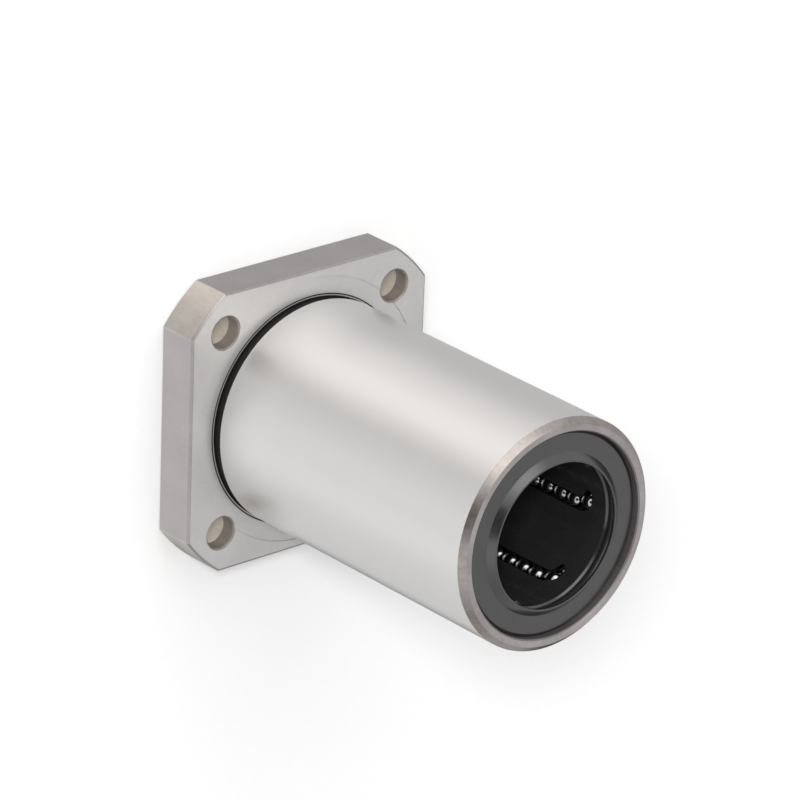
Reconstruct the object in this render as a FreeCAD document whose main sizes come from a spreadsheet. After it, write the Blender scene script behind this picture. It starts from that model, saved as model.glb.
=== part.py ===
import FreeCAD, Part
import Sketcher
import math
import os

# Flanged linear ball bearing: one steel sleeve with a square flange, a resin ball retainer,
# six endless rows of balls, and at each end a steel ring and a rubber wiper seal.
# The bore runs along Z, the flange's outer face lies on z = 0 and the nose is on top.

doc = FreeCAD.newDocument("linear_bearing")
sheet = doc.addObject("Spreadsheet::Sheet", "Sizes")

DRIVING_SIZES = [
    ("shaft_dia", "25"),
    ("total_length", "71"),
    ("end_wall", "2.3"),
    ("seat_step", "0.985"),
    ("flange_reach", "5"),
    ("corner_reach", "11"),
    ("flange_thick", "8"),
    ("flange_edge", "0.3"),
    ("bolt_reach", "5.5"),
    ("bolt_count", "4"),
    ("bolt_hole_dia", "5.6"),
    ("bolt_hole_edge", "0.3"),
    ("bolt_head_dia", "9"),
    ("bolt_head_depth", "5.1"),
    ("face_step_reach", "3.5"),
    ("face_step_depth", "0.15"),
    ("undercut_width", "1.6"),
    ("undercut_depth", "0.35"),
    ("nose_edge", "1"),
    ("mouth_edge", "0.25"),
    ("ring_thick", "0.6"),
    ("seal_depth", "1.1"),
    ("seal_rim_depth", "1.55"),
    ("seal_rim_thick", "0.9"),
    ("seal_slope", "0.6"),
    ("lip_slope", "1.5"),
    ("lip_band", "0.4"),
    ("lip_edge", "0.2"),
    ("seal_heel", "0.9"),
    ("ball_dia", "3.175"),
    ("ball_pitch", "3.275"),
    ("turn_room", "8.5"),
    ("circuit_count", "6"),
    ("circuit_angle", "-4"),
    ("row_spacing", "4.6"),
    ("return_lift", "0.95"),
    ("turn_relief", "0.5"),
    ("collar_wall", "1.5"),
    ("retainer_edge", "0.3"),
    ("retainer_gap", "0.5"),
    ("ball_gap", "0.01"),
    ("track_gap", "0.08"),
    ("sleeve_gap", "0.08"),
    ("ring_gap", "0.15"),
    ("collar_gap", "0.05"),
]

DERIVED_SIZES = [
    ("shaft_radius", "=shaft_dia / 2"),
    ("ball_radius", "=ball_dia / 2"),
    ("load_radius", "=shaft_radius + ball_gap + ball_radius"),
    ("land_radius", "=load_radius + ball_radius + ball_gap"),
    ("return_radius", "=load_radius + return_lift"),
    ("track_radius", "=ball_radius + track_gap"),
    ("relief_radius", "=return_radius + track_radius"),
    ("seat_radius", "=relief_radius + seat_step"),
    ("barrel_radius", "=seat_radius + end_wall"),
    ("flange_half", "=barrel_radius + flange_reach"),
    ("flange_radius", "=barrel_radius + corner_reach"),
    ("bolt_offset", "=(barrel_radius + bolt_reach) / sqrt(2)"),
    ("turn_radius", "=row_spacing / 2"),
    ("load_offset", "=(return_radius ^ 2 - load_radius ^ 2 - row_spacing ^ 2) / (2 * row_spacing)"),
    ("loop_distance", "=sqrt(load_radius ^ 2 - load_offset ^ 2)"),
    ("turn_offset", "=load_offset + turn_radius"),
    ("return_offset", "=load_offset + row_spacing"),
    ("loop_angle", "=circuit_angle - atan(load_offset / loop_distance) / 1deg"),
    ("balls_in_row", "=floor((total_length - 2 * turn_room) / ball_pitch)"),
    ("row_length", "=balls_in_row * ball_pitch"),
    ("lower_turn", "=(total_length - row_length) / 2"),
    ("upper_turn", "=total_length - lower_turn"),
    ("seal_back", "=seal_rim_depth + seal_rim_thick"),
    ("ring_seat", "=seal_back + ring_thick"),
    ("collar_depth", "=seal_back + collar_gap"),
    ("shoulder_depth", "=ring_seat + ring_gap"),
    ("land_start", "=lower_turn + turn_relief"),
    ("retainer_bore", "=shaft_radius + retainer_gap"),
    ("retainer_radius", "=land_radius - sleeve_gap"),
    ("collar_radius", "=retainer_bore + collar_wall"),
    ("ring_bore", "=collar_radius + ring_gap"),
]

SQUARE_SIDES = "4"


def fill_sheet():
    """Writes every size into the sheet, one row each, and names its cell."""
    for row, (name, text) in enumerate(DRIVING_SIZES + DERIVED_SIZES, start=1):
        sheet.set("A%d" % row, name)
        sheet.set("B%d" % row, text)
        sheet.setAlias("B%d" % row, name)
    doc.recompute()


def sized(text):
    """Turns a formula in size names into one that reads the sheet."""
    names = sorted((name for name, _ in DRIVING_SIZES + DERIVED_SIZES), key=len, reverse=True)
    words = []
    word = ""
    for letter in text + " ":
        if letter.isalnum() or letter == "_":
            word += letter
        else:
            words.append("Sizes." + word if word in names else word)
            words.append(letter)
            word = ""
    return "".join(words).strip()


def bind(item, prop, text):
    """Ties one property of an object to a formula in size names."""
    item.setExpression(prop, sized(text))


def value(name):
    """Reads one size from the sheet as a number."""
    return float(getattr(sheet, name))


def origin_plane(body, role):
    """Finds one of a body's own origin planes or axes."""
    return [item for item in body.Origin.OriginFeatures if item.Role == role][0]


def new_body(name):
    """Starts a body whose Label is the piece's own name."""
    body = doc.addObject("PartDesign::Body", name)
    body.Label = name
    return body


def sketch_on(body, role, name):
    """Starts a sketch on one of the body's origin planes."""
    sketch = body.newObject("Sketcher::SketchObject", name)
    sketch.AttachmentSupport = [(origin_plane(body, role), "")]
    sketch.MapMode = "FlatFace"
    return sketch


def outline_sketch(body, name, points):
    """Draws a closed outline in the XZ plane, each corner tied to a radius and a height."""
    sketch = sketch_on(body, "XZ_Plane", name)
    count = len(points)
    corners = [FreeCAD.Vector(rough(radius), rough(height), 0) for radius, height in points]
    for index, corner in enumerate(corners):
        sketch.addGeometry(Part.LineSegment(corner, corners[(index + 1) % count]), False)
    for index in range(count):
        sketch.addConstraint(Sketcher.Constraint("Coincident", index, 2, (index + 1) % count, 1))
    for index, (radius, height) in enumerate(points):
        corner = corners[index]
        across = sketch.addConstraint(Sketcher.Constraint("DistanceX", -1, 1, index, 1, corner.x))
        sketch.renameConstraint(across, "radius%d" % index)
        bind(sketch, "Constraints.radius%d" % index, radius)
        along = sketch.addConstraint(Sketcher.Constraint("DistanceY", -1, 1, index, 1, corner.y))
        sketch.renameConstraint(along, "height%d" % index)
        bind(sketch, "Constraints.height%d" % index, height)
    return sketch


def rough(text):
    """Works out a formula once, as a starting place for a corner that the sheet then holds."""
    probe.setExpression("Height", sized("1000 + " + text))
    probe.recompute()
    return probe.Height.Value - 1000


def turned(body, name, points):
    """Revolves an outline of (radius, height) corners about Z into a turned solid."""
    sketch = outline_sketch(body, name + "_outline", points)
    turning = body.newObject("PartDesign::Revolution", name)
    turning.Profile = sketch
    turning.ReferenceAxis = (sketch, ["V_Axis"])
    turning.Angle = 360
    doc.recompute()
    return turning


def around_axis(body, name, originals, count):
    """Repeats features evenly about the bore axis."""
    pattern = body.newObject("PartDesign::PolarPattern", name)
    pattern.Originals = originals
    pattern.Axis = (origin_plane(body, "Z_Axis"), [""])
    pattern.Angle = 360
    bind(pattern, "Occurrences", count)
    body.Tip = pattern
    doc.recompute()
    return pattern


def drilled(body, name, radius, length, place):
    """Cuts a round hole along Z, from a place given as three formulas."""
    hole = body.newObject("PartDesign::SubtractiveCylinder", name)
    bind(hole, "Radius", radius)
    bind(hole, "Height", length)
    for axis, text in zip("xyz", place):
        bind(hole, "Placement.Base." + axis, text)
    return hole


def countersunk(body, name, narrow, wide, place, upward):
    """Breaks the edge of a hole with a small cone, as deep as it is wide."""
    cone = body.newObject("PartDesign::SubtractiveCone", name)
    bind(cone, "Radius1", narrow if upward else wide)
    bind(cone, "Radius2", wide if upward else narrow)
    bind(cone, "Height", "(%s) - (%s)" % (wide, narrow))
    for axis, text in zip("xyz", place):
        bind(cone, "Placement.Base." + axis, text)
    return cone


def make_sleeve():
    """The steel sleeve and its flange, one piece, with lands and grooves for the balls."""
    body = new_body("outer_sleeve")
    barrel = "barrel_radius"
    seat = "seat_radius"
    turned(body, "sleeve_turning", [
        (seat + " + mouth_edge", "0"),
        ("flange_radius", "0"),
        ("flange_radius", "flange_thick"),
        (barrel + " + face_step_reach", "flange_thick"),
        (barrel + " + face_step_reach", "flange_thick - face_step_depth"),
        (barrel + " - undercut_depth", "flange_thick - face_step_depth"),
        (barrel + " - undercut_depth", "flange_thick + undercut_width - undercut_depth"),
        (barrel, "flange_thick + undercut_width"),
        (barrel, "total_length - nose_edge"),
        (barrel + " - nose_edge", "total_length"),
        (seat + " + mouth_edge", "total_length"),
        (seat, "total_length - mouth_edge"),
        (seat, "total_length - ring_seat"),
        ("relief_radius", "total_length - ring_seat"),
        ("relief_radius", "total_length - land_start"),
        ("land_radius", "total_length - land_start"),
        ("land_radius", "land_start"),
        ("relief_radius", "land_start"),
        ("relief_radius", "ring_seat"),
        (seat, "ring_seat"),
        (seat, "mouth_edge"),
    ])
    flat = body.newObject("PartDesign::SubtractiveBox", "flange_flat")
    bind(flat, "Length", "flange_radius")
    bind(flat, "Width", "4 * flange_radius")
    bind(flat, "Height", "flange_thick")
    bind(flat, "Placement.Base.x", "flange_half")
    bind(flat, "Placement.Base.y", "-2 * flange_radius")
    square = around_axis(body, "four_flats", [flat], SQUARE_SIDES)
    edges = body.newObject("PartDesign::Chamfer", "flange_edges")
    edges.Base = (square, rim_edges(square.Shape))
    bind(edges, "Size", "flange_edge")
    doc.recompute()
    hole_radius = "bolt_hole_dia / 2"
    hole = drilled(body, "bolt_hole", hole_radius, "flange_thick", ("bolt_offset", "bolt_offset", "0"))
    rim = countersunk(body, "bolt_hole_rim", hole_radius, hole_radius + " + bolt_hole_edge",
                      ("bolt_offset", "bolt_offset", "flange_thick - bolt_hole_edge"), True)
    head = drilled(body, "bolt_head_bore", "bolt_head_dia / 2", "bolt_head_depth",
                   ("bolt_offset", "bolt_offset", "0"))
    mouth = countersunk(body, "bolt_head_rim", "bolt_head_dia / 2", "bolt_head_dia / 2 + bolt_hole_edge",
                        ("bolt_offset", "bolt_offset", "0"), False)
    around_axis(body, "bolt_holes", [hole, rim, head, mouth], "bolt_count")
    spot = "(loop_angle * 1deg + atan(return_offset / loop_distance))"
    groove = drilled(body, "return_groove", "track_radius", "total_length - 2 * ring_seat",
                     ("return_radius * cos" + spot, "return_radius * sin" + spot, "ring_seat"))
    around_axis(body, "return_grooves", [groove], "circuit_count")
    return body


def rim_edges(shape):
    """Names the edges round the flange's outline, on both of its faces."""
    names = []
    inner = value("flange_half") - 0.01
    for number, edge in enumerate(shape.Edges, start=1):
        box = edge.BoundBox
        level = box.ZLength < 0.001 and (abs(box.ZMin) < 0.001 or abs(box.ZMin - value("flange_thick")) < 0.001)
        middle = edge.valueAt((edge.FirstParameter + edge.LastParameter) / 2)
        if level and (middle.x ** 2 + middle.y ** 2) ** 0.5 >= inner:
            names.append("Edge%d" % number)
    return names


def track_section(sketch, first, prefix, across):
    """Draws one U section of a ball track: a half round towards the bore, open outwards."""
    centre = FreeCAD.Vector(value("loop_distance"), rough(across), 0)
    radius = value("track_radius")
    depth = 2 * value("track_radius")
    low = centre - FreeCAD.Vector(0, radius, 0)
    high = centre + FreeCAD.Vector(0, radius, 0)
    reach = FreeCAD.Vector(depth, 0, 0)
    circle = Part.Circle(centre, FreeCAD.Vector(0, 0, 1), radius)
    sketch.addGeometry(Part.ArcOfCircle(circle, math.pi / 2, 3 * math.pi / 2), False)
    sketch.addGeometry(Part.LineSegment(low, low + reach), False)
    sketch.addGeometry(Part.LineSegment(low + reach, high + reach), False)
    sketch.addGeometry(Part.LineSegment(high + reach, high), False)
    arc, lower, outer, upper = range(first, first + 4)
    sketch.addConstraint(Sketcher.Constraint("Tangent", arc, 2, lower, 1))
    sketch.addConstraint(Sketcher.Constraint("Coincident", lower, 2, outer, 1))
    sketch.addConstraint(Sketcher.Constraint("Coincident", outer, 2, upper, 1))
    sketch.addConstraint(Sketcher.Constraint("Tangent", upper, 2, arc, 1))
    sketch.addConstraint(Sketcher.Constraint("Horizontal", lower))
    sketch.addConstraint(Sketcher.Constraint("Horizontal", upper))
    sketch.addConstraint(Sketcher.Constraint("Vertical", outer))
    named = [
        ("width", Sketcher.Constraint("Radius", arc, radius), "track_radius"),
        ("depth", Sketcher.Constraint("DistanceX", lower, 1, lower, 2, depth), "2 * track_radius"),
        ("outward", Sketcher.Constraint("DistanceX", -1, 1, arc, 3, centre.x), "loop_distance"),
        ("across", Sketcher.Constraint("DistanceY", -1, 1, arc, 3, centre.y), across),
    ]
    for name, constraint, text in named:
        place = sketch.addConstraint(constraint)
        sketch.renameConstraint(place, prefix + name)
        bind(sketch, "Constraints." + prefix + name, text)


def track_turn(body, name, height, upward):
    """Cuts the half turn that joins a load track to its return track."""
    sketch = sketch_on(body, "XY_Plane", name + "_section")
    bind(sketch, "AttachmentOffset.Base.y", "turn_offset")
    bind(sketch, "AttachmentOffset.Base.z", height)
    track_section(sketch, 0, "turn_", "turn_radius")
    groove = body.newObject("PartDesign::Groove", name)
    groove.Profile = sketch
    groove.ReferenceAxis = (sketch, ["H_Axis"])
    groove.Angle = 180
    groove.Reversed = not upward
    doc.recompute()
    return groove


def make_retainer():
    """The resin retainer: a tube with six closed ball tracks, open to the shaft on the load side."""
    body = new_body("ball_retainer")
    bore = "retainer_bore"
    edge = "retainer_edge"
    turned(body, "retainer_turning", [
        (bore + " + " + edge, "collar_depth"),
        ("collar_radius", "collar_depth"),
        ("collar_radius", "shoulder_depth"),
        ("retainer_radius", "shoulder_depth"),
        ("retainer_radius", "total_length - shoulder_depth"),
        ("collar_radius", "total_length - shoulder_depth"),
        ("collar_radius", "total_length - collar_depth"),
        (bore + " + " + edge, "total_length - collar_depth"),
        (bore, "total_length - collar_depth - " + edge),
        (bore, "collar_depth + " + edge),
    ])
    sections = sketch_on(body, "XY_Plane", "track_sections")
    bind(sections, "AttachmentOffset.Base.z", "lower_turn")
    track_section(sections, 0, "load_", "load_offset")
    track_section(sections, 4, "return_", "return_offset")
    tracks = body.newObject("PartDesign::Pocket", "tracks")
    tracks.Profile = sections
    tracks.Reversed = True
    bind(tracks, "Length", "row_length")
    doc.recompute()
    lower = track_turn(body, "flange_turn", "lower_turn", False)
    upper = track_turn(body, "nose_turn", "upper_turn", True)
    around_axis(body, "six_circuits", [tracks, lower, upper], "circuit_count")
    bind(body, "Placement.Rotation.Angle", "loop_angle")
    return body


def make_seal(name, at_nose):
    """A rubber wiper seal: a rim in the sleeve's seat, a crowned face and a lip on the shaft."""
    body = new_body(name)
    seat = "seat_radius"
    shaft = "shaft_radius"
    corners = [
        (seat, "seal_rim_depth"),
        (seat + " - seal_slope", "seal_depth"),
        (shaft + " + lip_slope", "seal_depth"),
        (shaft + " + lip_edge", "0"),
        (shaft, "lip_edge"),
        (shaft, "lip_edge + lip_band"),
        (shaft + " + seal_heel", "seal_back - lip_band"),
        (shaft + " + seal_heel", "seal_back"),
        (seat, "seal_back"),
    ]
    if at_nose:
        corners = [(radius, "total_length - (%s)" % height) for radius, height in corners]
    turned(body, name + "_turning", corners)
    return body


def make_ring(name, start):
    """A flat steel ring between the seal and the retainer, seated on the sleeve's shoulder."""
    body = new_body(name)
    turned(body, name + "_turning", [
        ("ring_bore", start),
        ("seat_radius", start),
        ("seat_radius", start + " + ring_thick"),
        ("ring_bore", start + " + ring_thick"),
    ])
    return body


def ball(body, name, across, height):
    """Adds one ball of a circuit, on the loop's plane."""
    sphere = body.newObject("PartDesign::AdditiveSphere", name)
    bind(sphere, "Radius", "ball_radius")
    bind(sphere, "Placement.Base.x", "loop_distance")
    bind(sphere, "Placement.Base.y", across)
    bind(sphere, "Placement.Base.z", height)
    return sphere


def place_circuit(body, index):
    """Turns a group of balls about the bore to its own circuit."""
    body.AllowCompound = True
    bind(body, "Placement.Rotation.Angle", "loop_angle + %d * 360 / circuit_count" % index)


def make_row(name, across, index):
    """A straight row of separate balls, half a pitch in from each turn."""
    body = new_body(name)
    place_circuit(body, index)
    first = ball(body, name + "_ball", across, "lower_turn + ball_pitch / 2")
    doc.recompute()
    row = body.newObject("PartDesign::LinearPattern", name + "_row")
    row.Originals = [first]
    row.Direction = (origin_plane(body, "Z_Axis"), [""])
    row.Mode = "Spacing"
    bind(row, "Offset", "ball_pitch")
    bind(row, "Occurrences", "balls_in_row")
    body.Tip = row
    return body


def make_turn(name, turn_height, side, index):
    """The two balls in a half turn, each an eighth of a turn from its middle."""
    body = new_body(name)
    place_circuit(body, index)
    reach = "turn_radius * sin(45)"
    ball(body, name + "_load_ball", "turn_offset - " + reach, "%s %s %s" % (turn_height, side, reach))
    ball(body, name + "_return_ball", "turn_offset + " + reach, "%s %s %s" % (turn_height, side, reach))
    return body


def make_balls():
    """All the balls, in four groups for each circuit."""
    bodies = []
    for index in range(int(value("circuit_count"))):
        number = index + 1
        bodies.append(make_row("load_balls_%d" % number, "load_offset", index))
        bodies.append(make_row("return_balls_%d" % number, "return_offset", index))
        bodies.append(make_turn("nose_turn_balls_%d" % number, "upper_turn", "+", index))
        bodies.append(make_turn("flange_turn_balls_%d" % number, "lower_turn", "-", index))
    return bodies


def check_and_write(bodies):
    """Stops on any failed object or bad shape, then writes one file for each piece."""
    doc.recompute()
    for item in doc.Objects:
        if "Invalid" in item.State or "Error" in item.State:
            raise RuntimeError("%s is %s" % (item.Name, item.State))
    os.makedirs("parts", exist_ok=True)
    for body in bodies:
        if body.Shape.isNull() or not body.Shape.isValid():
            raise RuntimeError("%s has a bad shape" % body.Label)
    for body in bodies:
        body.Shape.exportStep("parts/%s.step" % body.Label)
        box = body.Shape.BoundBox
        print("%-20s %3d solids %10.2f mm3  z %.2f to %.2f" % (
            body.Label, len(body.Shape.Solids), body.Shape.Volume, box.ZMin, box.ZMax))


fill_sheet()
probe = doc.addObject("Part::Cylinder", "corner_probe")
pieces = [
    make_sleeve(),
    make_retainer(),
    make_ring("flange_end_ring", "seal_back"),
    make_ring("nose_end_ring", "total_length - ring_seat"),
    make_seal("flange_end_seal", False),
    make_seal("nose_end_seal", True),
]
pieces += make_balls()
doc.removeObject(probe.Name)
check_and_write(pieces)
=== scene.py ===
"""Dresses the flanged linear ball bearing: finishes, smooth seals, balls, the studio and the camera."""

import logging
import math
from collections.abc import Iterable
from dataclasses import dataclass
from enum import Enum
from typing import Any

import bmesh
import bpy
from mathutils import Matrix, Vector


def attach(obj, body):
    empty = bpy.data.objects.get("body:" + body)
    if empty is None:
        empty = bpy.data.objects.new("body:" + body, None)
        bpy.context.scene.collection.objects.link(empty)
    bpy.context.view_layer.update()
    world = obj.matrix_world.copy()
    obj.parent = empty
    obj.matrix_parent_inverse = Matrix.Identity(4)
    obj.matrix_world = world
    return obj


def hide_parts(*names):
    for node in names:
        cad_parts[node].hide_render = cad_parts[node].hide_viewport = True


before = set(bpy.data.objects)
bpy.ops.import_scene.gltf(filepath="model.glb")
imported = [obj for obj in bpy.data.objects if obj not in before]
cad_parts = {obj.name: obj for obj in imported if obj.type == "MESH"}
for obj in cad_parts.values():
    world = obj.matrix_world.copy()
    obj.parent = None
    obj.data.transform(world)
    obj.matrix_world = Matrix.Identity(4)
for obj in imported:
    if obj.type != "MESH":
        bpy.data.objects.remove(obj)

log = logging.getLogger("bearing")

MM = 0.001
Socket = bpy.types.NodeSocket
Colour = tuple[float, float, float, float]
Direction = tuple[float, float, float]
Band = tuple[float, float, float]


def grey(level: float, warmth: float = 0.0) -> Colour:
    """Makes an opaque grey.

    Args:
        level: Brightness, where 1 is white.
        warmth: Share by which red rises. Blue falls by half as much.

    Returns:
        Red, green, blue and alpha.
    """
    return (level * (1 + warmth), level, level * (1 - warmth / 2), 1.0)


def new_object(name: str, data: Any) -> bpy.types.Object:
    """Adds an object to the scene and returns it."""
    made = bpy.data.objects.new(name, data)
    bpy.context.scene.collection.objects.link(made)
    return made


class BearingEnd(Enum):
    """The two ends of the bearing, by the name that their pieces carry."""

    FLANGE = "flange"
    NOSE = "nose"


class Slot(Enum):
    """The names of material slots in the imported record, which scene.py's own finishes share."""

    RUBBER = "seal_rubber"
    BALL = "ball_steel"


@dataclass(frozen=True)
class Border:
    """Where one zone of a surface gives way to another. Sizes are in millimetres.

    Attributes:
        at: The middle of the border.
        soft: How far it reaches to each side of that.
    """

    at: float
    soft: float = 0.02

    def raised(self, height: float) -> "Border":
        """Returns the same border further up."""
        return Border(self.at + height, self.soft)


class Tree:
    """Adds nodes to one node tree and joins them."""

    def __init__(self, tree: bpy.types.NodeTree) -> None:
        """Starts on an emptied tree."""
        self.tree = tree
        tree.nodes.clear()

    def add(self, kind: str, **settings: Any) -> bpy.types.Node:
        """Adds a node.

        Args:
            kind: The node's type name.
            **settings: Properties to set on it.

        Returns:
            The new node.
        """
        node = self.tree.nodes.new(kind)
        for name, value in settings.items():
            setattr(node, name, value)
        return node

    def feed(self, node: bpy.types.Node, **inputs: Any) -> bpy.types.Node:
        """Fills a node's inputs.

        Args:
            node: The node to fill.
            **inputs: Values or sockets, by input name with spaces as underscores.

        Returns:
            The same node.
        """
        for name, value in inputs.items():
            self.join(value, node.inputs[name.replace("_", " ")])
        return node

    def join(self, value: Any, socket: Socket) -> None:
        """Links a socket to an input, or sets the input to a plain value."""
        if isinstance(value, Socket):
            self.tree.links.new(value, socket)
        else:
            socket.default_value = value

    def join_all(self, values: Iterable[Any], sockets: Iterable[Socket]) -> None:
        """Joins values to inputs, one by one."""
        for value, socket in zip(values, sockets):
            self.join(value, socket)

    def math(self, operation: str, *values: Any) -> Socket:
        """Adds a Math node.

        Args:
            operation: The node's operation.
            *values: Its inputs in order, each a number or a socket.

        Returns:
            The result's socket.
        """
        node = self.add("ShaderNodeMath", operation=operation)
        self.join_all(values, node.inputs)
        return node.outputs[0]

    def vector(self, *sides: Any) -> Socket:
        """Joins three numbers into a vector, and returns its socket."""
        node = self.add("ShaderNodeCombineXYZ")
        self.join_all(sides, node.inputs)
        return node.outputs[0]

    def split(self, vector: Any) -> tuple[Socket, ...]:
        """Returns the sockets of a vector's three numbers."""
        node = self.add("ShaderNodeSeparateXYZ")
        self.join(vector, node.inputs[0])
        return tuple(node.outputs)

    def stretch(self, vector: Any, scale: Direction) -> Socket:
        """Scales a vector along each axis, and returns its socket."""
        node = self.add("ShaderNodeVectorMath", operation="MULTIPLY")
        self.join_all((vector, scale), node.inputs)
        return node.outputs[0]

    def rise(self, value: Any, start: float, stop: float) -> Socket:
        """Returns a number that rises from 0 to 1 while a value goes from start to stop."""
        node = self.add("ShaderNodeMapRange")
        return self.feed(node, Value=value, From_Min=start, From_Max=stop).outputs[0]

    def above(self, value: Any, border: Border) -> Socket:
        """Returns a mask that is 1 where a value lies beyond a border."""
        return self.rise(value, border.at - border.soft, border.at + border.soft)

    def below(self, value: Any, border: Border) -> Socket:
        """Returns a mask that is 1 where a value lies short of a border."""
        return self.rise(value, border.at + border.soft, border.at - border.soft)

    def between(self, value: Any, low: Border, high: Border) -> Socket:
        """Returns a mask that is 1 where a value lies between two borders."""
        return self.math("MULTIPLY", self.above(value, low), self.below(value, high))

    def mix(self, share: Any, first: Any, second: Any) -> Socket:
        """Mixes two numbers.

        Args:
            share: How much of the second is taken.
            first: A number or a socket.
            second: A number or a socket.

        Returns:
            The mixed number's socket.
        """
        node = self.add("ShaderNodeMix", data_type="FLOAT")
        self.join_all((share, first, second), (node.inputs[0], node.inputs[2], node.inputs[3]))
        return node.outputs[0]

    def blend(self, share: Any, first: Any, second: Any, mode: str = "MIX") -> Socket:
        """Mixes two colours.

        Args:
            share: How much of the second is taken.
            first: A colour or a socket.
            second: A colour or a socket.
            mode: The blend type.

        Returns:
            The mixed colour's socket.
        """
        node = self.add("ShaderNodeMix", data_type="RGBA", blend_type=mode)
        self.join_all((share, first, second), (node.inputs[0], node.inputs[6], node.inputs[7]))
        return node.outputs[2]

    def noise(self, place: Any, scale: float, detail: float = 3.0) -> Socket:
        """Returns a noise in space, about 0.5 in the middle. The scale is grains per unit."""
        node = self.add("ShaderNodeTexNoise", noise_dimensions="3D")
        return self.feed(node, Scale=scale, Detail=detail, Vector=place).outputs[0]

    def lines(self, distance: Any, scale: float) -> Socket:
        """Returns a noise that runs along one number only."""
        node = self.add("ShaderNodeTexNoise", noise_dimensions="1D")
        return self.feed(node, Scale=scale, Detail=1.0, W=distance).outputs[0]


class Paint(Tree):
    """The tree of one new material."""

    def __init__(self, name: str) -> None:
        """Starts the material."""
        self.material = bpy.data.materials.new(name)
        self.material.use_nodes = True
        super().__init__(self.material.node_tree)

    def point(self) -> Socket:
        """Returns where a point of the surface is in the object's own frame, in millimetres."""
        return self.stretch(self.add("ShaderNodeTexCoord").outputs["Object"], (1 / MM, 1 / MM, 1 / MM))

    def shaded(self, colour: Any, shade: Any) -> Socket:
        """Multiplies a colour by a number, and returns its socket."""
        tint = self.add("ShaderNodeCombineColor")
        self.join_all((shade, shade, shade), tint.inputs)
        return self.blend(1.0, colour, tint.outputs[0], "MULTIPLY")

    def bump(self, relief: Any, height: float, strength: float) -> Socket:
        """Returns the surface direction of a relief, whose height is in metres."""
        node = self.add("ShaderNodeBump")
        return self.feed(node, Height=relief, Distance=height, Strength=strength).outputs[0]

    def close(self, **inputs: Any) -> bpy.types.Material:
        """Ends the tree with one shader, fed with the inputs, and returns the material."""
        shader = self.feed(self.add("ShaderNodeBsdfPrincipled"), **inputs)
        self.feed(self.add("ShaderNodeOutputMaterial"), Surface=shader.outputs[0])
        return self.material


class PartPlace:
    """Where a point of the bearing's surface is, in millimetres in the bearing's own frame."""

    def __init__(self, paint: Paint) -> None:
        """Reads the point and splits it."""
        self.paint = paint
        self.point = paint.point()
        self.across, self.upright, self.along = paint.split(self.point)
        self.radius = self.reach(self.across, self.upright)

    def reach(self, *sides: Any) -> Socket:
        """Returns the length of two sides at a right angle."""
        squares = [self.paint.math("MULTIPLY", side, side) for side in sides]
        return self.paint.math("SQRT", self.paint.math("ADD", *squares))

    def from_middle(self) -> list[Socket]:
        """Returns the distances from the two middle planes."""
        return [self.paint.math("ABSOLUTE", side) for side in (self.across, self.upright)]

    def from_bolt(self, offset: float) -> Socket:
        """Returns the distance from the nearest bolt's axis, which is offset from both middle planes."""
        return self.reach(*(self.paint.math("SUBTRACT", side, offset) for side in self.from_middle()))

    def outside(self, half_width: float, corner_radius: float) -> Socket:
        """Tells how far a point lies outside a square with round corners.

        Args:
            half_width: Half the width over the square's flats.
            corner_radius: Radius of its corners about the bore.

        Returns:
            The distance's socket, which is 0 on the outline and negative inside it.
        """
        flat = self.paint.math("SUBTRACT", self.paint.math("MAXIMUM", *self.from_middle()), half_width)
        corner = self.paint.math("SUBTRACT", self.radius, corner_radius)
        return self.paint.math("MAXIMUM", flat, corner)


@dataclass(frozen=True)
class SteelTone:
    """How one zone of the steel looks.

    Attributes:
        colour: The metal's colour.
        roughness: Its roughness.
        drift: How far the colour wanders over the zone.
        metal: How far it shines as bare metal.
    """

    colour: Colour
    roughness: float
    drift: float
    metal: float = 1.0


@dataclass(frozen=True)
class SleeveMarks:
    """Marks that machining and handling leave on the sleeve.

    Attributes:
        blots: Soft blots per millimetre.
        specks: Small specks per millimetre.
        speck_detail: Octaves of the specks.
        speck_scale: How close the specks lie along each axis, as a share of that.
        speck_share: How strongly the specks tell beside the blots.
        blot_roughness: How much rougher blots and specks make the steel.
        barrel_lines: Tool lines per millimetre along the barrel.
        barrel_lean: How far those follow the radius too.
        face_lines: Tool lines per millimetre across the faces.
        face_lean: How far those follow the height too.
        faces: Radius from which the faces' lines take over.
        line_roughness: How much rougher the lines make the steel.
        line_height: Height of their relief in metres.
        line_strength: How strongly their relief tells.
    """

    blots: float = 0.16
    specks: float = 1.6
    speck_detail: float = 2.0
    speck_scale: Direction = (1.0, 1.0, 0.35)
    speck_share: float = 0.5
    blot_roughness: float = 0.10
    barrel_lines: float = 5.0
    barrel_lean: float = 0.02
    face_lines: float = 4.0
    face_lean: float = 0.4
    faces: Border = Border(20.15, 0.15)
    line_roughness: float = 0.05
    line_height: float = 0.000003
    line_strength: float = 0.5

    def wander(self, paint: Paint, place: PartPlace) -> Socket:
        """Returns the blots with the specks on them, 0 in the middle."""
        blots = paint.noise(place.point, self.blots)
        specks = paint.noise(paint.stretch(place.point, self.speck_scale), self.specks, self.speck_detail)
        both = paint.math("ADD", blots, paint.math("MULTIPLY", specks, self.speck_share))
        return paint.math("SUBTRACT", both, (1 + self.speck_share) / 2)

    def tool_lines(self, paint: Paint, place: PartPlace) -> Socket:
        """Returns the fine rings that turning and grinding leave on the barrel and on the faces."""
        on_barrel = paint.lines(paint.math("MULTIPLY_ADD", place.radius, self.barrel_lean, place.along),
                                self.barrel_lines)
        on_faces = paint.lines(paint.math("MULTIPLY_ADD", place.along, self.face_lean, place.radius),
                               self.face_lines)
        return paint.mix(paint.above(place.radius, self.faces), on_barrel, on_faces)


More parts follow.
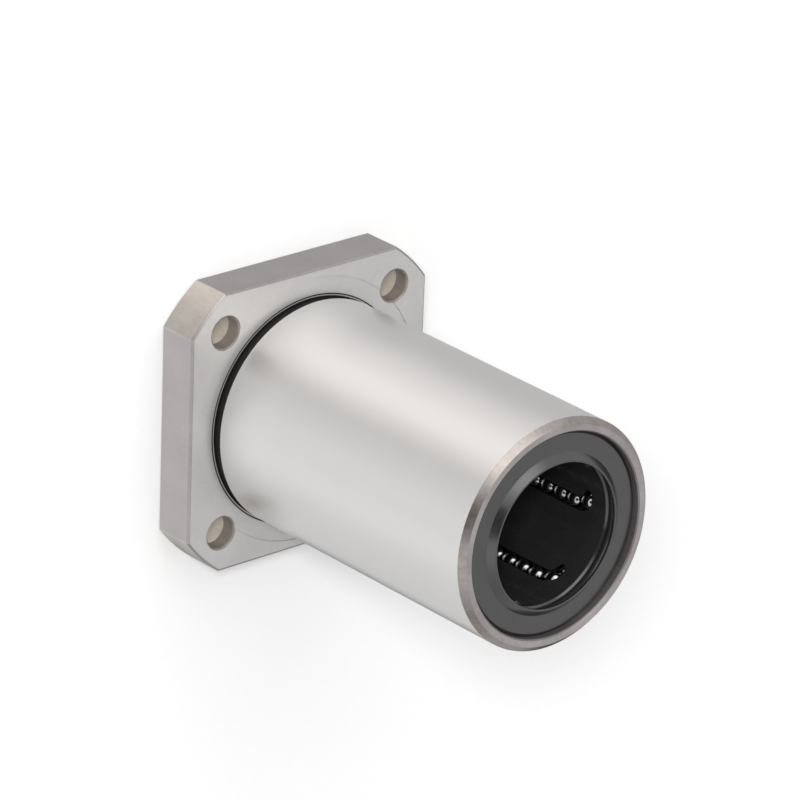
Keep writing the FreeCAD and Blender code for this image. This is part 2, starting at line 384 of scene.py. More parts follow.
@dataclass(frozen=True)
class SleeveBorders:
    """Where the sleeve's finishes meet. Sizes are in millimetres, heights from the flange's outer face.

    Attributes:
        total_length: The bearing's length.
        flange_half: Half the flange's width over its flats.
        flange_radius: Radius of its round corners.
        bolt_offset: How far each bolt hole is from the two middle planes.
        flats: Where its flats start: distance outside the flange's outline.
        corners: Radius from which its round corners run.
        bevel: Where its upper bevel starts: height plus that distance.
        barrel: Height of the barrel's start.
        foot: Height at which the foot's duller polish and lighter painted colour fade.
        groove_low: Height of the undercut's start.
        groove_high: Height of its end.
        groove_side: Radius of its outer side.
        shadow_ring_high: Height up to which the thin ring of painted shadow round it reaches, where the
            groove's wall would be shaded.
        shadow_ring_inner: Inner radius of that painted shadow ring.
        shadow_ring_outer: Outer radius of that painted shadow ring.
        nose: Where the nose starts: height above the bearing's end.
        chamfer: Where its chamfer starts: radius plus that height.
        mouth: Radius of the seal's recess.
        hole_rim: Reach of the holes' lighter tone from a bolt's axis.
        hole_low: Height of its start.
        hole_high: Height of its end.
        narrow_rim: The same for a hole's narrow part, which is painted darker.
        narrow_low: Height of that part's start.
    """

    total_length: float = 71.0
    flange_half: float = 25.0
    flange_radius: float = 31.0
    bolt_offset: float = 25.5 / math.sqrt(2)
    flats: Border = Border(-0.10)
    corners: Border = Border(30.90)
    bevel: Border = Border(7.61, 0.03)
    barrel: Border = Border(9.5, 0.1)
    foot: Border = Border(18.0, 6.0)
    groove_low: Border = Border(7.60)
    groove_high: Border = Border(9.58)
    groove_side: Border = Border(20.0)
    shadow_ring_high: Border = Border(8.2)
    shadow_ring_inner: Border = Border(20.18, 0.03)
    shadow_ring_outer: Border = Border(20.42, 0.03)
    nose: Border = Border(-1.01, 0.03)
    chamfer: Border = Border(18.955, 0.025)
    mouth: Border = Border(17.915, 0.015)
    hole_rim: Border = Border(4.58, 0.04)
    hole_low: Border = Border(0.32)
    hole_high: Border = Border(7.72)
    narrow_rim: Border = Border(3.085, 0.025)
    narrow_low: Border = Border(5.14)


@dataclass(frozen=True)
class SleeveSteel:
    """Hardened steel of the sleeve, with one tone for each zone.

    Attributes:
        name: The material's name.
        flange: The flange's two faces, ground.
        flats: Its four flats.
        corners: Its round corners, painted lighter and warmer: a painted reflection of warm light.
        bevel: Its upper bevel, painted darker: a painted shade line along the flange's edge.
        barrel: The barrel, polished.
        foot: The barrel near the flange, a little duller, and painted lighter than the rest of the barrel:
            painted light.
        groove: The undercut at the barrel's foot, blackened, and the thin ring of painted shadow round it on
            the flange's face.
        nose: The nose's face, turned.
        chamfer: The nose's chamfer.
        recess: The seal's seat and the bore, painted dark: painted shade in the recess.
        holes: The bolt holes' beige walls, painted lighter: painted light inside the counterbores, which the
            floor closes.
        shaded_narrow_holes: The narrow part of the bolt holes, painted darker: painted shade in the holes.
        borders: Where the zones meet.
        marks: The marks on them.
    """

    name: str = "hardened_steel"
    flange: SteelTone = SteelTone((0.535, 0.522, 0.513, 1.0), 0.35, 0.10, 0.48)
    flats: SteelTone = SteelTone((0.530, 0.505, 0.502, 1.0), 0.30, 0.12)
    # The round corners are painted lighter and warmer than the flats: a painted reflection of warm light.
    corners: SteelTone = SteelTone((0.65, 0.61, 0.565, 1.0), 0.30, 0.22)
    # The upper bevel is painted darker: a painted shade line along the flange's edge.
    bevel: SteelTone = SteelTone((0.41, 0.385, 0.385, 1.0), 0.30, 0.20)
    barrel: SteelTone = SteelTone((0.82, 0.81, 0.803, 1.0), 0.29, 0.02, 0.95)
    # The foot's duller polish is real; its lighter colour is painted light that brightens the barrel near the
    # flange.
    foot: SteelTone = SteelTone((0.89, 0.885, 0.875, 1.0), 0.44, 0.02, 0.95)
    # Black oxide in the undercut; the same tone also paints the thin shadow ring round it.
    groove: SteelTone = SteelTone((0.022, 0.021, 0.020, 1.0), 0.35, 0.10, 0.6)
    nose: SteelTone = SteelTone((0.425, 0.39, 0.39, 1.0), 0.36, 0.30, 0.85)
    chamfer: SteelTone = SteelTone((0.40, 0.36, 0.34, 1.0), 0.27, 0.40)
    # The recess is painted dark: painted shade inside the seal's seat.
    recess: SteelTone = SteelTone((0.21, 0.188, 0.185, 1.0), 0.40, 0.30, 0.70)
    # The holes' walls are painted lighter than the steel: painted light inside the counterbores, which the
    # floor closes.
    holes: SteelTone = SteelTone((0.71, 0.64, 0.555, 1.0), 0.45, 0.26, 0.25)
    # The narrow part of the holes is painted darker: painted shade.
    shaded_narrow_holes: SteelTone = SteelTone((0.27, 0.237, 0.205, 1.0), 0.40, 0.30, 0.40)
    borders: SleeveBorders = SleeveBorders()
    marks: SleeveMarks = SleeveMarks()

    def zones(self, paint: Paint, place: PartPlace) -> list[tuple[SteelTone, Socket]]:
        """Adds the masks of all zones but the flange's faces, which lie under the others.

        Args:
            paint: The material's tree.
            place: Where the point is.

        Returns:
            Each zone's tone and mask. Each zone covers those before it.
        """
        at = self.borders
        outside = place.outside(at.flange_half, at.flange_radius)
        from_bolt = place.from_bolt(at.bolt_offset)
        barrel = paint.above(place.along, at.barrel)
        return [
            (self.flats, paint.above(outside, at.flats)),
            (self.corners, paint.above(place.radius, at.corners)),
            (self.bevel, paint.above(paint.math("ADD", outside, place.along), at.bevel)),
            (self.barrel, barrel),
            (self.foot, paint.math("MULTIPLY", barrel, paint.below(place.along, at.foot))),
            (self.groove, self.undercut(paint, place)),
            (self.nose, paint.above(place.along, at.nose.raised(at.total_length))),
            (self.chamfer, paint.above(paint.math("ADD", place.radius, place.along),
                                       at.chamfer.raised(at.total_length))),
            (self.recess, paint.below(place.radius, at.mouth)),
            (self.holes, paint.math("MULTIPLY", paint.below(from_bolt, at.hole_rim),
                                    paint.between(place.along, at.hole_low, at.hole_high))),
            (self.shaded_narrow_holes, paint.math("MULTIPLY", paint.below(from_bolt, at.narrow_rim),
                                           paint.above(place.along, at.narrow_low))),
        ]

    def undercut(self, paint: Paint, place: PartPlace) -> Socket:
        """Returns the mask of the black undercut, and of a thin ring of painted shadow round it on the
        flange's face, where the groove's wall would be shaded.
        """
        at = self.borders
        groove = paint.math("MULTIPLY", paint.between(place.along, at.groove_low, at.groove_high),
                            paint.below(place.radius, at.groove_side))
        # A thin ring of painted shadow on the flange's face round the undercut, where the groove's wall would
        # be shaded.
        ring = paint.math("MULTIPLY", paint.between(place.along, at.groove_low, at.shadow_ring_high),
                          paint.between(place.radius, at.shadow_ring_inner, at.shadow_ring_outer))
        return paint.math("MAXIMUM", groove, ring)

    def material(self) -> bpy.types.Material:
        """Builds the material and returns it."""
        paint = Paint(self.name)
        place = PartPlace(paint)
        colour: Any = self.flange.colour
        roughness: Any = self.flange.roughness
        drift: Any = self.flange.drift
        metal: Any = self.flange.metal
        for tone, mask in self.zones(paint, place):
            colour = paint.blend(mask, colour, tone.colour)
            roughness = paint.mix(mask, roughness, tone.roughness)
            drift = paint.mix(mask, drift, tone.drift)
            metal = paint.mix(mask, metal, tone.metal)
        wander = self.marks.wander(paint, place)
        lines = self.marks.tool_lines(paint, place)
        swing = paint.math("MULTIPLY", wander, paint.math("MULTIPLY", drift, 2.0))
        worn = paint.math("MULTIPLY_ADD", wander, self.marks.blot_roughness, roughness)
        return paint.close(
            Metallic=metal,
            Base_Color=paint.shaded(colour, paint.math("ADD", 1.0, swing)),
            Roughness=paint.math("MULTIPLY_ADD", lines, self.marks.line_roughness, worn),
            Normal=paint.bump(lines, self.marks.line_height, self.marks.line_strength),
        )


@dataclass(frozen=True)
class PlainSteel:
    """Steel with one finish, for the rings and the balls.

    Attributes:
        name: The material's name.
        tone: How the steel looks.
        grain: Marks per millimetre.
        relief: Height of the marks in metres.
        strength: How strongly their relief tells.
        swing: How far they change the roughness.
    """

    name: str
    tone: SteelTone
    grain: float
    relief: float
    strength: float = 0.5
    swing: float = 0.1

    def material(self) -> bpy.types.Material:
        """Builds the material and returns it."""
        paint = Paint(self.name)
        marks = paint.noise(paint.point(), self.grain)
        wander = paint.math("SUBTRACT", marks, 0.5)
        shade = paint.math("MULTIPLY_ADD", wander, 2 * self.tone.drift, 1.0)
        return paint.close(
            Metallic=self.tone.metal,
            Base_Color=paint.shaded(self.tone.colour, shade),
            Roughness=paint.math("MULTIPLY_ADD", wander, self.swing, self.tone.roughness),
            Normal=paint.bump(marks, self.relief, self.strength),
        )


@dataclass(frozen=True)
class Moulded:
    """A moulded polymer: the seals' rubber or the retainer's resin.

    Attributes:
        name: The material's name.
        dark: Its darker colour.
        light: Its lighter colour.
        roughness: Mean roughness.
        gloss: Specular level.
        grain: Marks of the skin's grain per millimetre.
        relief: Height of the grain in metres.
        grain_detail: Octaves of the grain.
        strength: How strongly the grain's relief tells.
        index: Refractive index, which sets how strongly it shines.
        bloom: Soft pale patches per millimetre.
        bloom_share: How far the patches set the shade. The grain sets the rest.
        contrast: Shades at which the colour is fully dark and fully light.
        swing: How far the shade changes the roughness.
    """

    name: str
    dark: Colour
    light: Colour
    roughness: float
    gloss: float
    grain: float
    relief: float
    grain_detail: float = 4.0
    strength: float = 0.6
    index: float = 1.5
    bloom: float = 0.35
    bloom_share: float = 0.7
    contrast: tuple[float, float] = (0.3, 0.7)
    swing: float = 0.25

    def material(self) -> bpy.types.Material:
        """Builds the material and returns it."""
        paint = Paint(self.name)
        point = paint.point()
        skin = paint.noise(point, self.grain, self.grain_detail)
        bloom = paint.math("MULTIPLY", paint.noise(point, self.bloom), self.bloom_share)
        shade = paint.math("MULTIPLY_ADD", skin, 1 - self.bloom_share, bloom)
        wander = paint.math("SUBTRACT", shade, 0.5)
        return paint.close(
            Base_Color=paint.blend(paint.rise(shade, *self.contrast), self.dark, self.light),
            Roughness=paint.math("MULTIPLY_ADD", wander, self.swing, self.roughness),
            Specular_IOR_Level=self.gloss,
            IOR=self.index,
            Normal=paint.bump(skin, self.relief, self.strength),
        )


RESIN = Moulded(
    name="retainer_resin", dark=grey(0.018), light=grey(0.024), roughness=0.15, gloss=0.9, grain=1.5,
    relief=0.000002,
)
RUBBER = Moulded(
    name="seal_rubber", dark=grey(0.012), light=grey(0.020), roughness=0.20, gloss=1.0, grain=4.0,
    relief=0.000002, index=1.58,
)
RING_STEEL = PlainSteel(
    name="ring_steel", tone=SteelTone(grey(0.45, 0.02), 0.38, 0.12), grain=3.0, relief=0.000004,
)
BALL_STEEL = PlainSteel(
    name="ball_steel", tone=SteelTone(grey(0.45), 0.09, 0.03), grain=2.0, relief=0.0000005,
)


class ShapeTree(Tree):
    """A Geometry Nodes tree with named inputs, which runs once on an object and leaves a plain mesh."""

    def __init__(self, name: str, sockets: dict[str, str]) -> None:
        """Makes the tree.

        Args:
            name: The tree's name.
            sockets: Kind of value by input name, such as Float.
        """
        group = bpy.data.node_groups.new(name, "GeometryNodeTree")
        super().__init__(group)
        for way in ("INPUT", "OUTPUT"):
            group.interface.new_socket(name="Geometry", in_out=way, socket_type="NodeSocketGeometry")
        for label, kind in sockets.items():
            group.interface.new_socket(name=label, in_out="INPUT", socket_type=f"NodeSocket{kind}")
        self.given = self.add("NodeGroupInput").outputs

    def moved(self, shape: Any, **placing: Any) -> Socket:
        """Moves or turns a shape, and returns its socket."""
        return self.feed(self.add("GeometryNodeTransform"), Geometry=shape, **placing).outputs[0]

    def stepped(self, step: Any, start: Any) -> Socket:
        """Returns a number that starts at one value and grows by a step from copy to copy."""
        return self.math("MULTIPLY_ADD", self.add("GeometryNodeInputIndex").outputs[0], step, start)

    def turned(self, shape: Any, count: Any, rotation: Any) -> Socket:
        """Repeats a shape about the origin.

        Args:
            shape: The shape.
            count: Number of copies.
            rotation: How far each copy is turned, as a vector of angles.

        Returns:
            The copies' socket.
        """
        hub = self.feed(self.add("GeometryNodeMeshLine"), Count=count, Offset=(0.0, 0.0, 0.0))
        copies = self.add("GeometryNodeInstanceOnPoints")
        return self.feed(copies, Points=hub.outputs[0], Instance=shape, Rotation=rotation).outputs[0]

    def close(self, shape: Socket) -> None:
        """Ends the tree: smooth shading, real faces and the finish."""
        smooth = self.feed(self.add("GeometryNodeSetShadeSmooth"), Geometry=shape)
        real = self.feed(self.add("GeometryNodeRealizeInstances"), Geometry=smooth.outputs[0])
        dressed = self.feed(self.add("GeometryNodeSetMaterial"), Geometry=real.outputs[0],
                            Material=self.given["Finish"])
        self.join(dressed.outputs[0], self.add("NodeGroupOutput").inputs[0])

    def run(self, name: str, base: bpy.types.Mesh, values: dict[str, Any]) -> bpy.types.Object:
        """Runs the tree on a new object.

        Args:
            name: The object's name.
            base: The mesh that the tree starts from.
            values: Values by input name.

        Returns:
            The object, with a plain mesh and no modifier.
        """
        piece = new_object(name, base)
        modifier = piece.modifiers.new(self.tree.name, "NODES")
        modifier.node_group = self.tree
        for item in self.tree.interface.items_tree:
            if item.in_out == "INPUT" and item.name in values:
                modifier[item.identifier] = values[item.name]
        graph = bpy.context.evaluated_depsgraph_get()
        made = bpy.data.meshes.new_from_object(piece.evaluated_get(graph), depsgraph=graph)
        piece.modifiers.clear()
        piece.data = made
        made.name = name
        return piece


def hand_over(piece: bpy.types.Object, body: str, nodes: Iterable[str]) -> None:
    """Gives a piece to its body, and lets it stand for CAD nodes.

    Args:
        piece: The finished piece.
        body: The CAD body that it rides on.
        nodes: The CAD nodes that it replaces.
    """
    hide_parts(*nodes)
    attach(piece, body)
    log.info("%s: %d faces on %s", piece.name, len(piece.data.polygons), body)


@dataclass
class WiperSeal:
    """One rubber seal, a turned ring whose profile has rounded corners. Sizes are in millimetres.

    Depths count from the bearing's end, and the lip's and heel's widths from the shaft.

    Attributes:
        end: The bearing's end that it closes.
        finish: The rubber.
        total_length: The bearing's length.
        seat_radius: Radius of its seat in the sleeve.
        shaft_radius: Radius of the shaft.
        rim_depth: Depth of the rim at the sleeve.
        face_depth: Depth of the flat face.
        back_depth: Depth of the back.
        slope: Width of the rim's outer slope.
        lip_slope: Width out to which the lip's outer slope reaches.
        crest: Width of the lip's top.
        crest_depth: Depth of the lip's top.
        lip_gap: How far the lip's edge stays off the shaft.
        lip_start: Depth at which that edge starts.
        lip_end: Depth at which it ends.
        heel: Width of the gap behind the lip.
        heel_height: Height of the heel's straight wall.
        path_radius: Radius at which the section is carried round.
        segments: Faces round the ring.
        corner_steps: Steps in each rounded corner.
    """

    end: BearingEnd
    finish: bpy.types.Material
    total_length: float = 71.0
    seat_radius: float = 17.7
    shaft_radius: float = 12.5
    rim_depth: float = 1.55
    face_depth: float = 1.1
    back_depth: float = 2.45
    slope: float = 0.6
    lip_slope: float = 1.5
    crest: float = 0.34
    crest_depth: float = 0.03
    lip_gap: float = 0.02
    lip_start: float = 0.06
    lip_end: float = 0.55
    heel: float = 0.9
    heel_height: float = 0.3
    path_radius: float = 15.0
    segments: int = 160
    corner_steps: int = 5

    def profile(self) -> list[tuple[float, float, float]]:
        """Returns the section's corners as radius, depth below the end, and edge radius."""
        seat = self.seat_radius
        shaft = self.shaft_radius
        return [
            (seat, self.rim_depth, 0.10),
            (seat - self.slope, self.face_depth, 0.20),
            (shaft + self.lip_slope, self.face_depth, 0.20),
            (shaft + self.crest, self.crest_depth, 0.14),
            (shaft + self.lip_gap, self.lip_start, 0.10),
            (shaft + self.lip_gap, self.lip_end, 0.10),
            (shaft + self.heel, self.back_depth - self.heel_height, 0.20),
            (shaft + self.heel, self.back_depth, 0.05),
            (seat, self.back_depth, 0.05),
        ]

    def section_mesh(self) -> bpy.types.Mesh:
        """Returns the section as a closed line, with the edge radius of each corner."""
        corners = self.profile()
        at_nose = self.end is BearingEnd.NOSE
        heights = [self.total_length - depth if at_nose else depth for _, depth, _ in corners]
        points = [((radius - self.path_radius) * MM, -height * MM, 0.0)
                  for (radius, _, _), height in zip(corners, heights)]
        edges = [(index, (index + 1) % len(points)) for index in range(len(points))]
        mesh = bpy.data.meshes.new("seal_section")
        mesh.from_pydata(points, edges, [])
        rounding = mesh.attributes.new("edge_radius", "FLOAT", "POINT")
        for item, (_, _, edge) in zip(rounding.data, corners):
            item.value = edge * MM
        return mesh

    def turning_tree(self) -> ShapeTree:
        """Returns the tree that rounds the section and turns it into a ring."""
        tree = ShapeTree("turned_seal", {
            "Path Radius": "Float",
            "Segments": "Int",
            "Corner Steps": "Int",
            "Finish": "Material",
        })
        line = tree.feed(tree.add("GeometryNodeMeshToCurve"), Mesh=tree.given["Geometry"])
        edge = tree.feed(tree.add("GeometryNodeInputNamedAttribute", data_type="FLOAT"), Name="edge_radius")
        rounded = tree.add("GeometryNodeFilletCurve", mode="POLY")
        tree.feed(rounded, Curve=line.outputs[0], Count=tree.given["Corner Steps"],
                  Radius=edge.outputs[0], Limit_Radius=True)
        path = tree.add("GeometryNodeCurvePrimitiveCircle")
        tree.feed(path, Resolution=tree.given["Segments"], Radius=tree.given["Path Radius"])
        ring = tree.add("GeometryNodeCurveToMesh")
        tree.feed(ring, Curve=path.outputs[0], Profile_Curve=rounded.outputs[0])
        tree.close(ring.outputs[0])
        return tree

    def build(self) -> bpy.types.Object:
        """Makes the ring, hands it over and returns it."""
        name = f"{self.end.value}_end_wiper"
        piece = self.turning_tree().run(name, self.section_mesh(), {
            "Path Radius": self.path_radius * MM,
            "Segments": self.segments,
            "Corner Steps": self.corner_steps,
            "Finish": self.finish,
        })
        shell = bmesh.new()
        shell.from_mesh(piece.data)
        bmesh.ops.recalc_face_normals(shell, faces=shell.faces)
        shell.to_mesh(piece.data)
        shell.free()
        hand_over(piece, "housing", [f"{self.end.value}_end_seal"])
        return piece


@dataclass
class BallCircuits:
    """The balls of all six circuits, by the body that each group rides on. Sizes are in millimetres.

    Attributes:
        finish: The balls' steel.
        total_length: The bearing's length.
        shaft_radius: Radius of the shaft that the load rows run on.
        ball_dia: Diameter of a ball.
        ball_pitch: Distance from ball to ball in a row.
        balls_in_row: Balls in each straight row.
        balls_in_turn: Balls in each half turn.
        circuits: Number of circuits.
        first_angle: Where the first load row is, in degrees.
        row_spacing: Distance between a load row and its return row.
        return_lift: How much further out the return row runs.
        ball_gap: Clearance of a ball on the shaft.
        segments: Faces round a ball.
    """

    finish: bpy.types.Material
    total_length: float = 71.0
    shaft_radius: float = 12.5
    ball_dia: float = 3.175
    ball_pitch: float = 3.275
    balls_in_row: int = 16
    balls_in_turn: int = 2
    circuits: int = 6
    first_angle: float = -4.0
    row_spacing: float = 4.6
    return_lift: float = 0.95
    ball_gap: float = 0.01
    segments: int = 28

    def __post_init__(self) -> None:
        """Works out the plane that one circuit lies in, and where its rows and turns start."""
        load = self.shaft_radius + self.ball_gap + self.ball_dia / 2
        back = load + self.return_lift
        self.load_offset = (back ** 2 - load ** 2 - self.row_spacing ** 2) / (2 * self.row_spacing)
        self.plane_distance = math.sqrt(load ** 2 - self.load_offset ** 2)
        self.plane_angle = math.radians(self.first_angle) - math.atan2(self.load_offset, self.plane_distance)
        self.first_ball = (self.total_length - (self.balls_in_row - 1) * self.ball_pitch) / 2
        self.turn_height = self.first_ball - self.ball_pitch / 2

    def ball(self, tree: ShapeTree) -> Socket:
        """Adds one ball to a tree, and returns its socket."""
        rings = tree.math("DIVIDE", tree.given["Segments"], 2.0)
        ball = tree.add("GeometryNodeMeshUVSphere")
        tree.feed(ball, Segments=tree.given["Segments"], Rings=rings, Radius=tree.given["Ball Radius"])
        return ball.outputs[0]

    def row_tree(self) -> ShapeTree:
        """Returns the tree that lines balls up along the bore and repeats the row round it."""
        tree = ShapeTree("ball_rows", {
            "Ball Radius": "Float",
            "Segments": "Int",
            "Balls": "Int",
            "Pitch": "Float",
            "First Ball": "Vector",
            "Rows": "Int",
            "First Angle": "Float",
            "Finish": "Material",
        })
        line = tree.add("GeometryNodeMeshLine")
        tree.feed(line, Count=tree.given["Balls"], Start_Location=tree.given["First Ball"],
                  Offset=tree.vector(0.0, 0.0, tree.given["Pitch"]))
        row = tree.add("GeometryNodeInstanceOnPoints")
        tree.feed(row, Points=line.outputs[0], Instance=self.ball(tree))
        angle = tree.stepped(tree.math("DIVIDE", 2 * math.pi, tree.given["Rows"]), tree.given["First Angle"])
        tree.close(tree.turned(row.outputs[0], tree.given["Rows"], tree.vector(0.0, 0.0, angle)))
        return tree

    def turn_tree(self) -> ShapeTree:
        """Returns the tree that sets balls along one half turn."""
        tree = ShapeTree("ball_turn", {
            "Ball Radius": "Float",
            "Segments": "Int",
            "Balls": "Int",
            "Turn Radius": "Float",
            "First Roll": "Float",
            "Roll Step": "Float",
            "Turn Centre": "Vector",
            "Circuit Angle": "Float",
            "Finish": "Material",
        })
        reach = tree.math("MULTIPLY", tree.given["Turn Radius"], -1.0)
        out = tree.moved(self.ball(tree), Translation=tree.vector(0.0, reach, 0.0))
        roll = tree.stepped(tree.given["Roll Step"], tree.given["First Roll"])
        arc = tree.turned(out, tree.given["Balls"], tree.vector(roll, 0.0, 0.0))
        seated = tree.moved(arc, Translation=tree.given["Turn Centre"])
        tree.close(tree.moved(seated, Rotation=tree.vector(0.0, 0.0, tree.given["Circuit Angle"])))
        return tree

    def common(self) -> dict[str, Any]:
        """Returns the inputs that both trees share."""
        return {
            "Ball Radius": self.ball_dia / 2 * MM,
            "Segments": self.segments,
            "Finish": self.finish,
        }

    def build_rows(self) -> None:
        """Makes the six load rows and the six return rows, one mesh for each body."""
        tree = self.row_tree()
        rows = {"load": self.load_offset, "return": self.load_offset + self.row_spacing}
        for kind, offset in rows.items():
            piece = tree.run(f"{kind}_ball_rows", bpy.data.meshes.new("no_shape"), self.common() | {
                "Balls": self.balls_in_row,
                "Pitch": self.ball_pitch * MM,
                "First Ball": Vector((self.plane_distance, offset, self.first_ball)) * MM,
                "Rows": self.circuits,
                "First Angle": self.plane_angle,
            })
            nodes = [f"{kind}_balls_{number}" for number in range(1, self.circuits + 1)]
            hand_over(piece, f"{kind}_rows", nodes)

    def build_turns(self) -> None:
        """Makes the two balls of each half turn, one mesh for each body."""
        tree = self.turn_tree()
        heights = {BearingEnd.FLANGE: self.turn_height, BearingEnd.NOSE: self.total_length - self.turn_height}
        for end, height in heights.items():
            step = (1.0 if end is BearingEnd.FLANGE else -1.0) * math.pi / self.balls_in_turn
            centre = (self.plane_distance, self.load_offset + self.row_spacing / 2, height)
            for number in range(1, self.circuits + 1):
                values = self.common() | {
                    "Balls": self.balls_in_turn,
                    "Turn Radius": self.row_spacing / 2 * MM,
                    "First Roll": step / 2,
                    "Roll Step": step,
                    "Turn Centre": Vector(centre) * MM,
                    "Circuit Angle": self.plane_angle + (number - 1) * 2 * math.pi / self.circuits,
                }
                piece = tree.run(f"{end.value}_turn_{number}_pair", bpy.data.meshes.new("no_shape"), values)
                nodes = [f"{end.value}_turn_balls_{number}"]
                hand_over(piece, f"{end.value}_turn_{number}", nodes)

    def build(self) -> None:
        """Makes every ball."""
        self.build_rows()
        self.build_turns()


def dress(node: str, finish: bpy.types.Material) -> None:
    """Gives a CAD node its finish.

    Args:
        node: The node's name.
        finish: The material.
    """
    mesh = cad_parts[node].data
    mesh.materials.clear()
    mesh.materials.append(finish)
    log.info("%s: %s", node, finish.name)


def dress_housing() -> None:
    """Dresses the CAD solids that keep their shape: the sleeve, the retainer and the retaining rings."""
    dress("outer_sleeve", SleeveSteel().material())
    dress("ball_retainer", RESIN.material())
    ring_finish = RING_STEEL.material()
    for end in BearingEnd:
        dress(f"{end.value}_end_ring", ring_finish)


@dataclass(frozen=True)
class SoftPatch:
    """A soft round patch in the surroundings.

    Attributes:
        towards: Direction of its middle.
        outer: Where it starts, in degrees from its middle.
        inner: Where it is full.
        light: Its colour and brightness.
    """

    towards: Direction
    outer: float
    inner: float
    light: Colour

    def lay(self, tree: Tree, around: Socket) -> Socket:
        """Lays the patch over the surroundings.

        Args:
            tree: The world's tree.
            around: Socket of the surroundings' light so far.

        Returns:
            The socket of the light with the patch.
        """
        node = tree.add("ShaderNodeVectorMath", operation="DOT_PRODUCT")
        tree.join(tree.add("ShaderNodeTexCoord").outputs["Generated"], node.inputs[0])
        node.inputs[1].default_value = Vector(self.towards).normalized()
        start, stop = (math.cos(math.radians(angle)) for angle in (self.outer, self.inner))
        return tree.blend(tree.rise(node.outputs["Value"], start, stop), around, self.light)


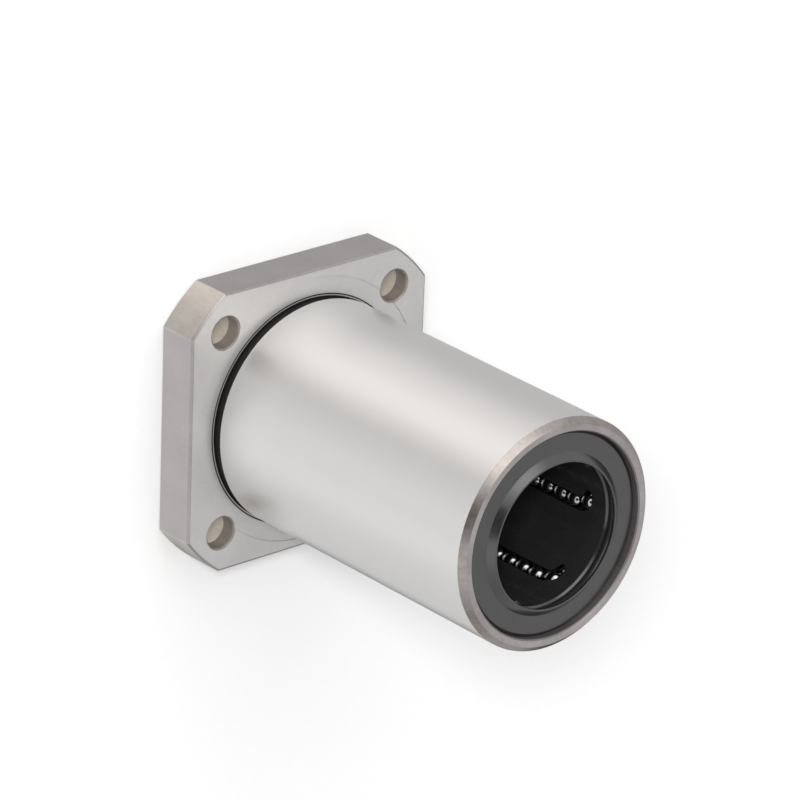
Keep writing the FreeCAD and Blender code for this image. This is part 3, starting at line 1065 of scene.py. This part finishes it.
@dataclass(frozen=True)
class Studio:
    """Plain pale floor, soft surroundings, one key light and the camera. Lengths are in metres.

    Attributes:
        eye: The camera's place.
        right: Direction to the picture's right.
        up: Direction to the picture's top.
        sensor: Width of the camera's sensor in millimetres.
        lens: Focal length in millimetres.
        clip: Nearest and farthest distance that the camera sees.
        low_bands: Compass angle in degrees, brightness and warmth of the light below the horizon.
        high_bands: The same above the horizon.
        horizon: Heights between which low bands pass into high ones, from -1 to 1.
        patches: Soft patches over the bands: the bright window, and the studio's dark corner.
        key_size: Diameter of the key light.
        key_power: Its power in watts.
        key_distance: Its distance from the bearing's middle.
        key_lift: How far it stands above the camera's line, as a share of its distance.
        key_shift: The same to the camera's right.
        key_aim: The point that it shines at.
        floor_reach: Half the floor's width.
        floor_level: The floor's height.
        floor_tones: The floor's darker and lighter colour.
        floor_grain: Grains per metre.
        floor_detail: Octaves of the grain.
        floor_roughness: How matt the floor is.
        floor_glow: How strongly it shines by itself, which lifts its shadows.
    """

    eye: Direction = (-0.5736, 0.3842, 0.6952)
    right: Direction = (0.7658, 0.0349, 0.6421)
    up: Direction = (0.2278, 0.9191, -0.3215)
    sensor: float = 36.0
    lens: float = 262.0
    clip: tuple[float, float] = (0.01, 50.0)
    low_bands: tuple[Band, ...] = (
        (-180, 0.82, 0.0), (-175, 0.82, 0.0), (-170, 0.68, 0.0), (-165, 0.84, 0.0), (-146, 0.85, 0.0),
        (-122, 0.72, 0.0), (-66, 0.66, 0.0), (-52, 0.05, 0.0), (-38, 0.05, 0.0), (-20, 0.54, 0.0),
        (34, 0.54, 0.005), (70, 0.81, 0.02), (100, 1.05, 0.05), (110, 0.95, 0.05), (134, 0.57, 0.015),
        (150, 0.69, 0.0), (180, 0.81, 0.0),
    )
    high_bands: tuple[Band, ...] = (
        (-180, 1.05, 0.0), (-146, 1.02, 0.0), (-107, 0.56, 0.0), (-33, 0.69, 0.0), (60, 0.88, 0.0),
        (130, 1.00, 0.0), (180, 1.05, 0.0),
    )
    horizon: tuple[float, float] = (-0.15, 0.35)
    patches: tuple[SoftPatch, ...] = (
        SoftPatch(towards=(-0.07, 0.76, 0.64), outer=26.0, inner=12.0, light=grey(2.2, 0.01)),
        SoftPatch(towards=(-0.6545, 0.139, 0.743), outer=20.0, inner=14.0, light=grey(0.04)),
    )
    key_size: float = 0.25
    key_power: float = 10.0
    key_distance: float = 1.4
    key_lift: float = 0.045
    key_shift: float = -0.015
    key_aim: Direction = (0.0, 0.0, 0.035)
    floor_reach: float = 4.0
    floor_level: float = -0.00002
    floor_tones: tuple[Colour, Colour] = (grey(0.87), grey(0.90))
    floor_grain: float = 900.0
    floor_detail: float = 2.0
    floor_roughness: float = 0.9
    floor_glow: float = 0.015

    def camera(self) -> None:
        """Makes the camera at the photograph's place and turns it the photograph's way."""
        data = bpy.data.cameras.new("camera")
        data.sensor_width = self.sensor
        data.lens = self.lens
        data.clip_start, data.clip_end = self.clip
        data.dof.use_dof = False
        eye = new_object("camera", data)
        right = Vector(self.right).normalized()
        up = (Vector(self.up) - right * right.dot(Vector(self.up))).normalized()
        turn = Matrix((right, up, right.cross(up))).transposed()
        eye.matrix_world = Matrix.Translation(Vector(self.eye)) @ turn.to_4x4()
        bpy.context.scene.camera = eye

    def bands(self, tree: Tree, angle: Socket, stops: tuple[Band, ...]) -> Socket:
        """Adds one circle of brightness.

        Args:
            tree: The world's tree.
            angle: The compass angle as a share of the full circle.
            stops: Compass angles in degrees, each with its brightness and warmth.

        Returns:
            The socket of the light's colour.
        """
        node = tree.add("ShaderNodeValToRGB")
        ramp = node.color_ramp
        ramp.interpolation = "EASE"
        for index, (degrees, level, warmth) in enumerate(stops):
            place = (degrees + 180) / 360
            stop = ramp.elements[index] if index < 2 else ramp.elements.new(place)
            stop.position = place
            stop.color = grey(level, warmth)
        tree.join(angle, node.inputs[0])
        return node.outputs[0]

    def surroundings(self) -> None:
        """Makes the world: soft bands of light all round, and plain white behind everything."""
        world = bpy.data.worlds.new("studio")
        bpy.context.scene.world = world
        world.use_nodes = True
        tree = Tree(world.node_tree)
        east, north, height = tree.split(tree.add("ShaderNodeTexCoord").outputs["Generated"])
        angle = tree.math("MULTIPLY_ADD", tree.math("ARCTAN2", north, east), 0.5 / math.pi, 0.5)
        low = self.bands(tree, angle, self.low_bands)
        high = self.bands(tree, angle, self.high_bands)
        around = tree.blend(tree.rise(height, *self.horizon), low, high)
        for patch in self.patches:
            around = patch.lay(tree, around)
        seen = tree.blend(tree.add("ShaderNodeLightPath").outputs["Is Camera Ray"], around, grey(1.0))
        light = tree.feed(tree.add("ShaderNodeBackground"), Color=seen, Strength=1.0)
        tree.feed(tree.add("ShaderNodeOutputWorld"), Surface=light.outputs[0])

    def key_light(self) -> None:
        """Makes one large soft light beside the camera, which leaves a soft shadow behind the bearing."""
        data = bpy.data.lights.new("key", "AREA")
        data.shape = "DISK"
        data.size = self.key_size
        data.energy = self.key_power
        lamp = new_object("key", data)
        aim = Vector(self.key_aim)
        aside = self.key_lift * Vector(self.up) + self.key_shift * Vector(self.right)
        away = (Vector(self.eye) - aim).normalized() + aside
        lamp.location = aim + away.normalized() * self.key_distance
        lamp.rotation_euler = away.to_track_quat("Z", "Y").to_euler()
        lamp.visible_glossy = False

    def floor_finish(self) -> bpy.types.Material:
        """Returns the floor's pale matt paint."""
        paint = Paint("pale_floor")
        place = paint.add("ShaderNodeTexCoord").outputs["Object"]
        grain = paint.noise(place, self.floor_grain, self.floor_detail)
        return paint.close(Roughness=self.floor_roughness, Base_Color=paint.blend(grain, *self.floor_tones),
                           Emission_Color=grey(1.0), Emission_Strength=self.floor_glow)

    def floor(self) -> None:
        """Makes the pale floor that the bearing stands on."""
        sheet = bmesh.new()
        bmesh.ops.create_grid(sheet, x_segments=4, y_segments=4, size=self.floor_reach)
        mesh = bpy.data.meshes.new("floor")
        sheet.to_mesh(mesh)
        sheet.free()
        ground = new_object("floor", mesh)
        ground.location.z = self.floor_level
        ground.visible_glossy = False
        mesh.materials.append(self.floor_finish())

    def build(self) -> None:
        """Makes the camera, the surroundings, the light and the floor."""
        self.camera()
        self.surroundings()
        self.key_light()
        self.floor()
        bpy.context.scene.view_settings.view_transform = "Standard"


def main() -> None:
    """Builds the studio and every piece."""
    logging.basicConfig(level=logging.INFO, format="%(name)s: %(message)s")
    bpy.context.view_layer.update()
    Studio().build()
    dress_housing()
    rubber = RUBBER.material()
    for end in BearingEnd:
        WiperSeal(end, rubber).build()
    BallCircuits(BALL_STEEL.material()).build()


if __name__ == "__main__":
    main()
